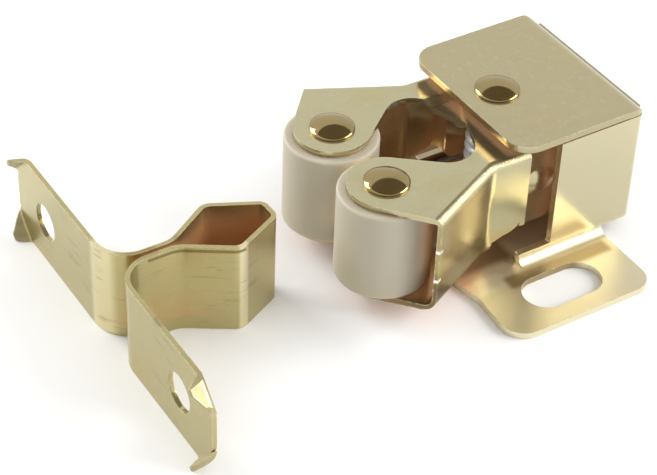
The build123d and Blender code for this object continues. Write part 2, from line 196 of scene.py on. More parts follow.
STRIKE_ZONES = (
    # The two legs, painted darker as painted shade, and duller.
    Zone((-40, -60, -1), (40, -44.5, 20), 0.3, Tone(0.420, 0.370, 0.210), dull=0.35),
    # A painted highlight on the bend of the far leg, painted shade on the neck and a painted
    # highlight on the corner of the head.
    Zone((-4.4, -45, -1), (-2.6, -43.2, 20), 1.0, Tone(0.760, 0.680, 0.410), 0.9),
    Zone((-1.9, -41.8, -1), (-0.6, -39.6, 20), 0.9, Tone(0.340, 0.265, 0.105), 0.8),
    Zone((2.3, -32.0, -1), (3.3, -31.3, 20), 0.35, Tone(0.780, 0.700, 0.440), 0.9),
    # A painted dark reflection along the head's upper edge.
    Zone((-0.3, -40.5, 9.95), (5.0, -31.5, 10.2), 0.1, Tone(0.200, 0.150, 0.060), 0.85),
)


class NodeBench:
    """Adds nodes to one node tree and joins them."""

    def __init__(self, tree: Tree) -> None:
        """Keeps the tree of a material, a world or a group."""
        self.tree = tree

    def add(self, kind: str, **settings: object) -> Node:
        """Adds one node.

        Args:
            kind: the node's type name.
            settings: properties to set on the node.

        Returns:
            The new node.
        """
        node = self.tree.nodes.new(kind)
        for key, value in settings.items():
            setattr(node, key, value)
        return node

    def feed(self, target: Socket, value: Value) -> None:
        """Links a socket to the target, or sets the target's value.

        Args:
            target: the input socket.
            value: an output socket, a tone, a number or a vector.
        """
        if isinstance(value, Socket):
            self.tree.links.new(value, target)
        else:
            target.default_value = value.rgba() if isinstance(value, Tone) else value

    def fill(self, node: Node, **values: Value) -> Node:
        """Feeds a node's inputs by name.

        Args:
            node: the node.
            values: the values by name, with _ for a space.

        Returns:
            The same node.
        """
        for label, value in values.items():
            self.feed(node.inputs[spaced(label)], value)
        return node

    def line_up(self, node: Node, values: Sequence[Value]) -> Node:
        """Feeds a node's inputs in order.

        Args:
            node: the node.
            values: the values, from the first input on.

        Returns:
            The same node.
        """
        for target, value in zip(node.inputs, values):
            self.feed(target, value)
        return node

    def maths(self, operation: str, *values: Value) -> Socket:
        """Adds a math node and returns the socket of its result."""
        return self.line_up(self.add("ShaderNodeMath", operation=operation), values).outputs[0]

    def times(self, first: Value, second: Value) -> Socket:
        """Multiplies two values."""
        return self.maths("MULTIPLY", first, second)

    def more(self, base: Value, extra: Value, share: Value) -> Socket:
        """Adds a share of an extra value to a base."""
        return self.maths("ADD", base, self.times(extra, share))

    def overlap(self, first: Value, second: Value) -> Socket:
        """Multiplies two masks and keeps the result between 0 and 1."""
        node = self.add("ShaderNodeMath", operation="MULTIPLY", use_clamp=True)
        return self.line_up(node, (first, second)).outputs[0]

    def vectors(self, operation: str, *values: Value) -> Socket:
        """Adds a vector math node and returns the socket of its result."""
        node = self.line_up(self.add("ShaderNodeVectorMath", operation=operation), values)
        return node.outputs["Value" if operation in NUMBER_RESULTS else "Vector"]

    def remap(
        self, value: Value, low: Value, high: Value, to_low: float = 0.0, to_high: float = 1.0
    ) -> Socket:
        """Adds a smooth range remap.

        Args:
            value: the value or socket to remap.
            low: the start of the source range.
            high: the end of the source range.
            to_low: the result at the start.
            to_high: the result at the end.

        Returns:
            The result's socket.
        """
        node = self.add("ShaderNodeMapRange", interpolation_type="SMOOTHSTEP")
        self.fill(node, Value=value, From_Min=low, From_Max=high, To_Min=to_low, To_Max=to_high)
        return node.outputs["Result"]

    def blend(self, amount: Value, first: Value, second: Value) -> Socket:
        """Mixes two colours.

        Args:
            amount: the share of the second colour.
            first: the first colour or socket.
            second: the second colour or socket.

        Returns:
            The mixed colour's socket.
        """
        node = self.add("ShaderNodeMix", data_type="RGBA")
        for index, value in ((0, amount), (6, first), (7, second)):
            self.feed(node.inputs[index], value)
        return node.outputs[2]

    def noise(
        self, vector: Value, scale: Value, detail: float = 2.0, roughness: float = 0.5
    ) -> Socket:
        """Adds a noise texture.

        Args:
            vector: the coordinates' socket.
            scale: the scale or its socket.
            detail: the number of octaves.
            roughness: the strength of the finer octaves.

        Returns:
            The noise value's socket.
        """
        node = self.add("ShaderNodeTexNoise")
        self.fill(node, Vector=vector, Scale=scale, Detail=detail, Roughness=roughness)
        return node.outputs["Fac"]

    def here(self) -> Socket:
        """Returns the socket of the point's place in the part."""
        return self.add("ShaderNodeTexCoord").outputs["Object"]

    def normal(self) -> Socket:
        """Returns the socket of the surface's normal."""
        return self.add("ShaderNodeNewGeometry").outputs["Normal"]

    def upright(self, vector: Value) -> Socket:
        """Returns the socket of a vector's Z part."""
        return self.line_up(self.add("ShaderNodeSeparateXYZ"), (vector,)).outputs["Z"]


class GroupBench(NodeBench):
    """A bench for one shader node group."""

    def __init__(self, name: str, outputs: Sequence[str], **inputs: Value) -> None:
        """Makes a group that has its sockets and nothing between them.

        Args:
            name: the group's name.
            outputs: the outputs' names, of which Color is a colour and any other a number.
            inputs: each input's default by name, with _ for a space.
        """
        super().__init__(bpy.data.node_groups.new(name, "ShaderNodeTree"))
        new_socket = self.tree.interface.new_socket
        for label, default in inputs.items():
            kind = SOCKET_KINDS[len(default) if isinstance(default, tuple) else 1]
            socket = new_socket(name=spaced(label), in_out="INPUT", socket_type=kind)
            socket.default_value = default
        for label in outputs:
            kind = SOCKET_KINDS[4 if label == "Color" else 1]
            new_socket(name=label, in_out="OUTPUT", socket_type=kind)
        self.start = self.add("NodeGroupInput").outputs
        self.end = self.add("NodeGroupOutput")

    def give(self, **results: Value) -> Tree:
        """Feeds the group's outputs and returns the finished group."""
        self.fill(self.end, **results)
        return self.tree


class EffectShelf:
    """The shader node groups that the finishes share, each built once, when it is first used."""

    @cached_property
    def rolled_grain(self) -> Tree:
        """The fine drawn-out marks of rolled sheet."""
        bench = GroupBench(
            "rolled_grain", ("Height", "Shade"), Stretch=(1.0, 1.0, 1.0), Lines_per_Metre=9000.0
        )
        lines = bench.start["Lines per Metre"]
        drawn = bench.vectors("MULTIPLY", bench.here(), bench.start["Stretch"])
        fine = bench.noise(drawn, lines, detail=3.0, roughness=0.6)
        broad = bench.noise(drawn, bench.times(lines, 0.13))
        return bench.give(Height=fine, Shade=bench.remap(bench.times(fine, broad), 0.1, 0.45))

    @cached_property
    def plating_tone(self) -> Tree:
        """The uneven colour of a thin skin, in soft clouds and small spots."""
        bench = GroupBench(
            "plating_tone",
            ("Color", "Cloud"),
            Main=(0.5, 0.45, 0.3, 1.0),
            Warm=(0.5, 0.4, 0.2, 1.0),
            Pale=(0.6, 0.6, 0.5, 1.0),
            Cloud_Scale=180.0,
        )
        here, scale = bench.here(), bench.start["Cloud Scale"]
        cloud = bench.noise(here, scale, detail=4.0, roughness=0.55)
        spots = bench.noise(here, bench.times(scale, 9.0), roughness=0.6)
        warm = bench.remap(cloud, 0.48, 0.72, 0.0, 0.75)
        pale = bench.remap(spots, 0.50, 0.80, 0.0, 0.22)
        clouded = bench.blend(warm, bench.start["Main"], bench.start["Warm"])
        return bench.give(Color=bench.blend(pale, clouded, bench.start["Pale"]), Cloud=cloud)

    @cached_property
    def rubbed_edges(self) -> Tree:
        """The plating that is rubbed bright along sharp edges, which is also a painted sheen on
        them.
        """
        bench = GroupBench("rubbed_edges", ("Mask",), Breakup_Scale=2600.0)
        rounded = bench.fill(bench.add("ShaderNodeBevel", samples=6), Radius=0.28 * MM)
        edge = bench.vectors("DOT_PRODUCT", rounded.outputs[0], bench.normal())
        broken = bench.noise(bench.here(), bench.start["Breakup Scale"], detail=3.0, roughness=0.6)
        mask = bench.overlap(bench.remap(edge, 0.995, 0.82), bench.remap(broken, 0.40, 0.62))
        return bench.give(Mask=mask)

    @cached_property
    def scuff_lines(self) -> Tree:
        """The sparse hair scratches and small nicks."""
        bench = GroupBench("scuff_lines", ("Mask",), Cells_per_Metre=420.0, Width=0.02)
        here, sway = bench.here(), 4.0 * MM
        drift = bench.fill(bench.add("ShaderNodeTexNoise"), Vector=here, Scale=300.0)
        lean = bench.vectors("MULTIPLY_ADD", drift.outputs["Color"], (sway, sway, sway), here)
        cells = bench.add("ShaderNodeTexVoronoi", feature="DISTANCE_TO_EDGE")
        bench.fill(cells, Vector=lean, Scale=bench.start["Cells per Metre"])
        thin = bench.maths("LESS_THAN", cells.outputs["Distance"], bench.start["Width"])
        kept = bench.remap(bench.noise(here, 700.0), 0.58, 0.66)
        return bench.give(Mask=bench.overlap(thin, kept))

    @cached_property
    def crushed_fold(self) -> Tree:
        """The crushed, sparkling skin on the outside of folds along the sheet."""
        bench = GroupBench("crushed_fold", ("Height", "Mask"), Scale=5200.0)
        level = bench.maths("ABSOLUTE", bench.upright(bench.normal()))
        slanting = bench.overlap(bench.remap(level, 0.25, 0.5), bench.remap(level, 0.97, 0.8))
        grit = bench.noise(bench.here(), bench.start["Scale"])
        return bench.give(Height=bench.times(grit, slanting), Mask=slanting)

    @cached_property
    def deep_brown(self) -> Tree:
        """A mask for painted brown shade: how deep inside the folds a point lies; it fades out near
        the floor.
        """
        bench = GroupBench(
            "deep_brown", ("Mask",), Reach=6.0 * MM, Fade_From=0.9 * MM, Fade_To=2.4 * MM
        )
        shade = bench.add("ShaderNodeAmbientOcclusion", samples=8)
        bench.fill(shade, Distance=bench.start["Reach"])
        upward = bench.remap(bench.upright(bench.normal()), 0.45, 0.75)
        height = bench.upright(bench.here())
        lifted = bench.remap(height, bench.start["Fade From"], bench.start["Fade To"])
        deep = bench.remap(shade.outputs["AO"], 0.52, 0.14)
        return bench.give(Mask=bench.overlap(deep, bench.maths("MAXIMUM", upward, lifted)))

    @cached_property
    def soft_box(self) -> Tree:
        """A mask that is 1 inside a box and fades to 0 outside it."""
        bench = GroupBench(
            "soft_box", ("Mask",), Low=(0.0, 0.0, 0.0), High=(1.0, 1.0, 1.0), Fade=1.0 * MM
        )
        here = bench.here()
        under = bench.vectors("SUBTRACT", bench.start["Low"], here)
        over = bench.vectors("SUBTRACT", here, bench.start["High"])
        outside = bench.vectors("MAXIMUM", bench.vectors("MAXIMUM", under, over), (0.0, 0.0, 0.0))
        share = bench.maths("DIVIDE", bench.vectors("LENGTH", outside), bench.start["Fade"])
        return bench.give(Mask=bench.remap(share, 1.0, 0.0))

    @cached_property
    def press_marks(self) -> Tree:
        """The press tool's small dents."""
        bench = GroupBench("press_marks", ("Mask",), Size=1.0)
        here = bench.here()
        marks: Value = 0.0
        for x, y, z, reach in PRESS_DENTS:
            away = bench.vectors("DISTANCE", here, (x * MM, y * MM, z * MM))
            share = bench.maths("DIVIDE", away, bench.start["Size"])
            dent = bench.remap(share, reach * MM, DENT_FLOOR * reach * MM)
            marks = bench.maths("MAXIMUM", marks, dent)
        return bench.give(Mask=marks)

    @cached_property
    def drag_marks(self) -> Tree:
        """The dark streaks that the bending tool leaves."""
        bench = GroupBench(
            "drag_marks", ("Mask",), Stretch=(0.12, 0.12, 1.0), Streaks_per_Metre=2200.0
        )
        here, streaks = bench.here(), bench.start["Streaks per Metre"]
        drawn = bench.vectors("MULTIPLY", here, bench.start["Stretch"])
        thin = bench.remap(bench.noise(drawn, streaks, detail=3.0, roughness=0.65), 0.54, 0.68)
        kept = bench.remap(bench.noise(here, 190.0), 0.47, 0.60)
        return bench.give(Mask=bench.overlap(thin, kept))


class FinishBench(NodeBench):
    """A bench for one material, with its shader at hand."""

    def __init__(self, name: str) -> None:
        """Starts a material.

        Args:
            name: the material's name.
        """
        self.material = bpy.data.materials.new(name)
        self.material.use_nodes = True
        super().__init__(self.material.node_tree)
        self.shader = self.tree.nodes["Principled BSDF"]

    def place(self, tree: Tree, **values: Value) -> Outputs:
        """Places a shared group, feeds its inputs by name and returns its outputs."""
        return self.fill(self.add("ShaderNodeGroup", node_tree=tree), **values).outputs

    def finish(self, height: Value, **values: Value) -> Material:
        """Feeds the shader and its bump.

        Args:
            height: the height of the fine relief, in metres.
            values: the shader's inputs by name, with _ for a space.

        Returns:
            The finished material.
        """
        bump = self.fill(self.add("ShaderNodeBump"), Strength=1.0, Distance=1.0, Height=height)
        self.fill(self.shader, Normal=bump.outputs[0], **values)
        return self.material


@dataclass(frozen=True)
class Finish:
    """What every finish of the catch has: three tones in soft clouds, and a fine grain."""

    name: str
    main: Tone = Tone(0.500, 0.450, 0.285)
    warm: Tone = Tone(0.490, 0.415, 0.225)
    pale: Tone = Tone(0.600, 0.570, 0.420)
    roughness: float = 0.17
    cloud_scale: float = 170.0
    grain: Grain = Grain.ALONG_Y
    grain_lines: float = 9000.0
    grain_depth: float = 0.0000016

    def start(self, shelf: EffectShelf) -> tuple[FinishBench, Outputs, Outputs]:
        """Starts the material.

        Args:
            shelf: the shared effect groups.

        Returns:
            The material's bench, the outputs of its clouds and the outputs of its grain.
        """
        bench = FinishBench(self.name)
        tones = {"Main": self.main, "Warm": self.warm, "Pale": self.pale}
        tone = bench.place(shelf.plating_tone, Cloud_Scale=self.cloud_scale, **tones)
        stretch = self.grain.value
        grain = bench.place(shelf.rolled_grain, Stretch=stretch, Lines_per_Metre=self.grain_lines)
        return bench, tone, grain

    def make(self, shelf: EffectShelf) -> Material:
        """Builds the material from the shared effect groups; each finish has its own way."""
        raise NotImplementedError


@dataclass(frozen=True)
class PlatedSheet(Finish):
    """Thin brass plating on folded steel sheet."""

    # The bare tone is the plating rubbed off sharp edges, and also a painted sheen on them.
    bare_and_sheen: Tone = Tone(0.620, 0.580, 0.430)
    # The inside tone below, with its own metal, reach and fade, is painted brown shade deep in the
    # folds.
    painted_shade_tone: Tone = Tone(0.640, 0.330, 0.140)
    smudge: Tone = Tone(0.270, 0.225, 0.115)
    metal: float = 0.90
    painted_shade_metal: float = 0.30
    painted_shade_reach: float = 12.0 * MM
    painted_shade_fade: tuple[float, float] = (0.9 * MM, 2.4 * MM)
    rub_and_sheen_scale: float = 2600.0
    scuff_cells: float = 420.0
    scuff_width: float = 0.018
    scuff_share: float = 0.12
    scuff_depth: float = 0.000003
    grain_dull: float = 0.06
    fold_crush: float = 0.0
    fold_scale: float = 7000.0
    fold_dull: float = 0.10
    press_dents: float = 0.0
    streaks: float = 0.0
    streak_stretch: Point = (0.12, 0.12, 1.0)
    streaks_per_metre: float = 2200.0
    zones: tuple[Zone, ...] = ()

    def make(self, shelf: EffectShelf) -> Material:
        """Builds the material.

        Args:
            shelf: the shared effect groups.

        Returns:
            The finished material.
        """
        bench, tone, grain = self.start(shelf)
        # Rubbed edges: wear of the plating, and a painted sheen along them.
        rub_and_sheen = bench.place(shelf.rubbed_edges, Breakup_Scale=self.rub_and_sheen_scale)
        scuff = bench.place(
            shelf.scuff_lines, Cells_per_Metre=self.scuff_cells, Width=self.scuff_width
        )
        masks = [self.zone_mask(bench, shelf, zone) for zone in self.zones]
        skin = self.tinted(bench, tone["Color"], masks, False)
        worn_and_sheened = bench.blend(rub_and_sheen["Mask"], skin, self.bare_and_sheen)
        marked = bench.blend(bench.times(scuff["Mask"], self.scuff_share), worn_and_sheened, self.pale)
        if self.streaks > 0.0:
            drag = bench.place(
                shelf.drag_marks,
                Stretch=self.streak_stretch,
                Streaks_per_Metre=self.streaks_per_metre,
            )
            marked = bench.blend(bench.times(drag["Mask"], self.streaks), marked, self.smudge)
        # Painted brown shade: deep in the folds the colour turns brown and less metallic.
        low, high = self.painted_shade_fade
        deep = bench.place(shelf.deep_brown, Reach=self.painted_shade_reach, Fade_From=low, Fade_To=high)
        shaded = bench.blend(deep["Mask"], marked, self.painted_shade_tone)
        metal = bench.remap(deep["Mask"], 0.0, 1.0, self.metal, self.painted_shade_metal)
        smooth, dull = self.roughness * 0.85, self.roughness * 1.25
        rough = bench.remap(tone["Cloud"], 0.3, 0.75, smooth, dull)
        rough = bench.more(rough, grain["Shade"], self.grain_dull)
        for zone, mask in zip(self.zones, masks):
            if zone.dull > 0.0:
                rough = bench.more(rough, mask, zone.dull)
        height = bench.times(grain["Height"], self.grain_depth)
        height = bench.more(height, scuff["Mask"], -self.scuff_depth)
        if self.fold_crush > 0.0:
            fold = bench.place(shelf.crushed_fold, Scale=self.fold_scale)
            height = bench.more(height, fold["Height"], self.fold_crush)
            rough = bench.more(rough, fold["Mask"], self.fold_dull)
        if self.press_dents > 0.0:
            marks = bench.place(shelf.press_marks, Size=1.0)
            height = bench.more(height, marks["Mask"], -self.press_dents)
        color = self.tinted(bench, shaded, masks, True)
        return bench.finish(height, Base_Color=color, Metallic=metal, Roughness=rough)

    def zone_mask(self, bench: FinishBench, shelf: EffectShelf, zone: Zone) -> Socket:
        """Places the soft box of one zone.

        Args:
            bench: the material's bench.
            shelf: the shared effect groups.
            zone: the zone.

        Returns:
            The socket of the zone's mask.
        """
        low = tuple(value * MM for value in zone.low)
        high = tuple(value * MM for value in zone.high)
        return bench.place(shelf.soft_box, Low=low, High=high, Fade=zone.fade * MM)["Mask"]

    def tinted(
        self, bench: FinishBench, color: Value, masks: Sequence[Socket], over_shade: bool
    ) -> Value:
        """Blends the tones of the zones into a colour.

        Args:
            bench: the material's bench.
            color: the colour's socket.
            masks: one mask for each of the finish's zones.
            over_shade: which zones to use, those over the painted brown shade of deep folds or the
                others.

        Returns:
            The socket of the tinted colour.
        """
        for zone, mask in zip(self.zones, masks):
            if zone.over_shade == over_shade:
                color = bench.blend(bench.times(mask, zone.share), color, zone.tone)
        return color


@dataclass(frozen=True)
class PolishedHead(Finish):
    """Bright brass plating on a cold-formed rivet."""

    main: Tone = Tone(0.345, 0.268, 0.120)
    warm: Tone = Tone(0.295, 0.222, 0.094)
    pale: Tone = Tone(0.410, 0.330, 0.180)
    roughness: float = 0.09
    cloud_scale: float = 420.0
    grain: Grain = Grain.NONE
    grain_lines: float = 5200.0
    grain_depth: float = 0.0000012
    scuff_cells: float = 900.0
    scuff_width: float = 0.02
    scuff_depth: float = 0.000002

    def make(self, shelf: EffectShelf) -> Material:
        """Builds the material.

        Args:
            shelf: the shared effect groups.

        Returns:
            The finished material.
        """
        bench, tone, grain = self.start(shelf)
        scuff = bench.place(
            shelf.scuff_lines, Cells_per_Metre=self.scuff_cells, Width=self.scuff_width
        )
        smooth, dull = self.roughness * 0.8, self.roughness * 1.5
        rough = bench.remap(tone["Cloud"], 0.3, 0.75, smooth, dull)
        height = bench.times(grain["Height"], self.grain_depth)
        height = bench.more(height, scuff["Mask"], -self.scuff_depth)
        return bench.finish(height, Base_Color=tone["Color"], Metallic=1.0, Roughness=rough)


@dataclass(frozen=True)
class NaturalNylon(Finish):
    """Undyed nylon with a dull, slightly see-through skin."""

    main: Tone = Tone(0.465, 0.425, 0.330)
    warm: Tone = Tone(0.455, 0.410, 0.300)
    pale: Tone = Tone(0.500, 0.465, 0.385)
    # The shade tone is a painted warm light, paler than the main tone, laid where the roller lies
    # deep in shade.
    shade: Tone = Tone(0.860, 0.720, 0.510)
    roughness: float = 0.50
    cloud_scale: float = 130.0
    grain: Grain = Grain.ALONG_Z
    grain_lines: float = 2600.0
    grain_depth: float = 0.000004
    shade_reach: float = 9.0 * MM
    shade_fade: tuple[float, float] = (3.5 * MM, 7.0 * MM)

    def make(self, shelf: EffectShelf) -> Material:
        """Builds the material.

        Args:
            shelf: the shared effect groups.

        Returns:
            The finished material.
        """
        bench, tone, grain = self.start(shelf)
        low, high = self.shade_fade
        # Painted warm bounce light on the roller's shaded side.
        deep = bench.place(shelf.deep_brown, Reach=self.shade_reach, Fade_From=low, Fade_To=high)
        smooth, dull = self.roughness - 0.05, self.roughness + 0.08
        return bench.finish(
            bench.times(grain["Height"], self.grain_depth),
            Base_Color=bench.blend(deep["Mask"], tone["Color"], self.shade),
            Roughness=bench.remap(tone["Cloud"], 0.3, 0.7, smooth, dull),
            Subsurface_Weight=0.55,
            Subsurface_Radius=(1.0, 0.8, 0.6),
            Subsurface_Scale=1.6 * MM,
            IOR=1.53,
        )


@dataclass(frozen=True)
class SpringWire(Finish):
    """Bright drawn steel wire."""

    main: Tone = Tone(0.92, 0.97, 1.0)
    warm: Tone = Tone(0.84, 0.88, 0.90)
    pale: Tone = Tone(0.96, 0.98, 1.0)
    roughness: float = 0.30
    cloud_scale: float = 500.0
    grain: Grain = Grain.ALONG_Z
    grain_lines: float = 8000.0
    grain_depth: float = 0.000002

    def make(self, shelf: EffectShelf) -> Material:
        """Builds the material.

        Args:
            shelf: the shared effect groups.

        Returns:
            The finished material.
        """
        bench, tone, grain = self.start(shelf)
        dull = self.roughness + 0.12
        rough = bench.remap(grain["Shade"], 0.0, 1.0, self.roughness, dull)
        height = bench.times(grain["Height"], self.grain_depth)
        return bench.finish(height, Base_Color=tone["Color"], Metallic=0.25, Roughness=rough)


@dataclass
class Workshop:
    """Mesh work that every sub-assembly shares."""

    frame: dict
    shelf: EffectShelf
    weld: float = 0.000002
    flat_angle: float = math.radians(0.4)
    fold_angle: float = math.radians(38)
    sharp_angle: float = math.radians(50)
    ease_facets: int = 3

    def eased_copy(self, node: str, name: str, ease: float) -> Piece:
        """Copies a folded piece from the frame and eases its sheared edges.

        Args:
            node: the CAD node's name.
            name: the new piece's name.
            ease: the radius of the eased edges, in metres.

        Returns:
            The new piece, still riding on nothing.
        """
        shape = bmesh.new()
        shape.from_mesh(self.frame["nodes"][node].data)
        bmesh.ops.remove_doubles(shape, verts=shape.verts, dist=self.weld)
        bmesh.ops.dissolve_limit(
            shape,
            angle_limit=self.flat_angle,
            verts=shape.verts,
            edges=shape.edges,
            use_dissolve_boundaries=False,
        )
        mesh = bpy.data.meshes.new(name)
        shape.to_mesh(mesh)
        shape.free()
        if "custom_normal" in mesh.attributes:
            mesh.attributes.remove(mesh.attributes["custom_normal"])
        piece = self.linked(name, mesh)
        soften = piece.modifiers.new("ease", "BEVEL")
        soften.width = ease
        soften.segments = self.ease_facets
        soften.limit_method = "ANGLE"
        soften.angle_limit = self.fold_angle
        soften.use_clamp_overlap = True
        soften.miter_outer = "MITER_ARC"
        piece.modifiers.new("even", "WEIGHTED_NORMAL").keep_sharp = True
        for face in mesh.polygons:
            face.use_smooth = True
        bpy.context.view_layer.update()
        graph = bpy.context.evaluated_depsgraph_get()
        eased = bpy.data.meshes.new_from_object(piece.evaluated_get(graph), depsgraph=graph)
        piece.modifiers.clear()
        piece.data = eased
        return piece

    def linked(self, name: str, mesh: bpy.types.Mesh) -> Piece:
        """Puts a mesh into the scene as a new piece.

        Args:
            name: the new piece's name.
            mesh: its mesh.

        Returns:
            The new piece.
        """
        piece = bpy.data.objects.new(name, mesh)
        bpy.context.scene.collection.objects.link(piece)
        return piece

    def turned(self, name: str, outline: Section, centre: Vector, steps: int = 96) -> Piece:
        """Makes a round piece by turning an outline about a vertical axis.

        Args:
            name: the new piece's name.
            outline: radius and height pairs, in metres, from the bottom up.
            centre: a point on the axis.
            steps: the number of facets round.

        Returns:
            The new piece, still riding on nothing.
        """
        vertices: list[Point] = []
        faces: list[tuple[int, ...]] = []
        rings: list[list[int]] = []
        for radius, height in outline:
            spread = circle(steps) if radius > 0.0 else [(0.0, 0.0)]
            rings.append([len(vertices) + step for step in range(len(spread))])
            for x, y in spread:
                point = (centre.x + radius * x, centre.y + radius * y, centre.z + height)
                vertices.append(point)
        for low, high in zip(rings, rings[1:]):
            for step in range(steps):
                after = (step + 1) % steps
                if len(low) == 1:
                    faces.append((low[0], high[after], high[step]))
                elif len(high) == 1:
                    faces.append((low[step], low[after], high[0]))
                else:
                    faces.append((low[step], low[after], high[after], high[step]))
        return self.from_lists(name, vertices, faces)

    def from_lists(self, name: str, vertices: Sequence, faces: Sequence) -> Piece:
        """Makes a smooth piece from vertex and face lists.

        Args:
            name: the new piece's name.
            vertices: the corner points, in metres.
            faces: the faces as vertex numbers.

        Returns:
            The new piece, still riding on nothing.
        """
        mesh = bpy.data.meshes.new(name)
        mesh.from_pydata(vertices, [], faces)
        mesh.update()
        shape = bmesh.new()
        shape.from_mesh(mesh)
        bmesh.ops.recalc_face_normals(shape, faces=shape.faces)
        shape.to_mesh(mesh)
        shape.free()
        for face in mesh.polygons:
            face.use_smooth = True
        mesh.set_sharp_from_angle(angle=self.sharp_angle)
        return self.linked(name, mesh)

    def dress(self, piece: Piece, finish: Finish, body: str, node: str) -> None:
        """Gives a piece its material, its body and the node it stands for.

        Args:
            piece: the new piece.
            finish: its finish.
            body: the CAD body it rides on.
            node: the CAD node it replaces.
        """
        piece.data.materials.clear()
        piece.data.materials.append(finish.make(self.shelf))
        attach(piece, body)
        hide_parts(node)
        log.info("%s: %d faces, rides on %s", piece.name, len(piece.data.polygons), body)


@dataclass
class FoldedPiece:
    """A folded sheet that stands still."""

    shop: Workshop
    finish: PlatedSheet
    node: str
    name: str
    ease: float

    def build(self) -> None:
        """Builds and dresses the piece."""
        piece = self.shop.eased_copy(self.node, self.name, self.ease)
        self.shop.dress(piece, self.finish, "catch_body", self.node)


@dataclass
class Case(FoldedPiece):
    """The folded case with its cover, walls and slotted flanges."""

    node: str = "case"
    name: str = "folded_case"
    ease: float = 0.22 * MM


@dataclass
class SpearStrike(FoldedPiece):
    """The folded strip that the rollers grip."""

    node: str = "strike"
    name: str = "spear_strike"
    ease: float = 0.21 * MM


@dataclass(frozen=True)
class DomedHead:
    """A cold-formed rivet head: a shallow ball on a rolled rim."""

    radius: float = 2.35 * MM
    height: float = 0.85 * MM
    rim: float = 0.25 * MM
    rim_ease: float = 0.06 * MM
    rim_drop: float = 0.07 * MM
    crease_in: float = 0.0175 * MM
    crease_drop: float = 0.01 * MM
    steps: int = 12

    def outline(self, base: float, up: int) -> Section:
        """Returns the head's section.

        Args:
            base: the height of the sheet's surface.
            up: 1 for a head on top, -1 for one underneath.

        Returns:
            Radius and height pairs from the bottom up.
        """
        radius, rim = self.radius, self.rim
        cap = self.height - rim
        ball = (radius * radius + cap * cap) / (2 * cap)
        widest = math.asin(radius / ball)
        points = [
            (radius - self.rim_ease, 0.0),
            (radius, self.rim_ease),
            (radius, rim - self.rim_drop),
            (radius - self.crease_in, rim - self.crease_drop),
        ]
        for step in range(1, self.steps + 1):
            angle = widest * (1 - step / self.steps)
            points.append((ball * math.sin(angle), rim + ball * math.cos(angle) - (ball - cap)))
        placed = [(max(r, 0.0), base + up * z) for r, z in points]
        return placed if up > 0 else placed[::-1]


@dataclass
class RollerArm:
    """One folded arm with its roller and the roller's rivet."""

    shop: Workshop
    side: Side
    sheet: PlatedSheet
    nylon: NaturalNylon
    brass: PolishedHead
    roller_x: float = 5.1 * MM
    roller_y: float = -16.7 * MM
    roller_radius: float = 4.95 * MM
    roller_bore: float = 1.45 * MM
    roller_low: float = 2.85 * MM
    roller_high: float = 13.15 * MM
    roller_edge: float = 0.28 * MM
    roller_facets: int = 128
    rim_steps: int = 6
    bore_flare: float = 0.15 * MM
    bore_drop: float = 0.05 * MM
    arm_low: float = 2.1 * MM
    arm_high: float = 13.9 * MM
    pin_radius: float = 1.38 * MM
    head: DomedHead = DomedHead()
    foot: DomedHead = DomedHead(height=0.6 * MM)
    ease: float = 0.24 * MM

    def build(self) -> None:
        """Builds and dresses the arm, the roller and the rivet."""
        shop, word = self.shop, self.side.word
        centre = Vector((self.side.value * self.roller_x, self.roller_y, 0.0))
        arm = shop.eased_copy(f"{word}_arm", f"{word}_folded_arm", self.ease)
        shop.dress(arm, self.sheet, f"{word}_arm_body", f"{word}_arm")
        outline = self.roller_outline()
        roller = shop.turned(f"{word}_nylon_roller", outline, centre, self.roller_facets)
        shop.dress(roller, self.nylon, f"{word}_roller_body", f"{word}_roller")
        rivet = shop.turned(f"{word}_domed_rivet", self.rivet_outline(), centre)
        shop.dress(rivet, self.brass, f"{word}_arm_body", f"{word}_roller_rivet")

    def roller_outline(self) -> Section:
        """Returns the roller's section with its bore and eased rims."""
        low, high, rim = self.roller_low, self.roller_high, self.roller_edge
        bore, flat = self.roller_bore, self.roller_radius - rim
        angles = [math.pi / 2 * step / self.rim_steps for step in range(self.rim_steps + 1)]
        outline = [(bore, low + self.bore_drop), (bore + self.bore_flare, low)]
        for angle in angles:
            outline.append((flat + rim * math.sin(angle), low + rim - rim * math.cos(angle)))
        for angle in angles:
            outline.append((flat + rim * math.cos(angle), high - rim + rim * math.sin(angle)))
        outline += [(bore + self.bore_flare, high), (bore, high - self.bore_drop), outline[0]]
        return outline

    def rivet_outline(self) -> Section:
        """Returns the rivet's section from its low foot up to the crown of its dome."""
        pin = [(self.pin_radius, self.arm_low), (self.pin_radius, self.arm_high)]
        return self.foot.outline(self.arm_low, -1) + pin + self.head.outline(self.arm_high, 1)


@dataclass
class PivotRivet:
    """The rivet that holds plate, arms and base together."""

    shop: Workshop
    brass: PolishedHead
    shank_radius: float = 1.48 * MM
    sink_radius: float = 2.18 * MM
    sheet: float = 0.75 * MM
    top: float = 16.0 * MM
    foot_ease: float = 0.05 * MM
    foot_dip: float = 0.04 * MM
    ring: tuple[float, float, float] = (0.9 * MM, 1.0 * MM, 1.1 * MM)
    head: DomedHead = DomedHead()

    def build(self) -> None:
        """Builds and dresses the rivet."""
        inner, groove, outer = self.ring
        outline = [
            (0.0, 0.0),
            (inner, 0.0),
            (groove, self.foot_dip),
            (outer, 0.0),
            (self.sink_radius - self.foot_ease, 0.0),
            (self.sink_radius, self.foot_dip),
            (self.shank_radius, self.sheet),
            (self.shank_radius, self.top),
        ]
        outline += self.head.outline(self.top, 1)
        rivet = self.shop.turned("pivot_domed_rivet", outline, Vector((0.0, 0.0, 0.0)))
        self.shop.dress(rivet, self.brass, "catch_body", "pivot_rivet")


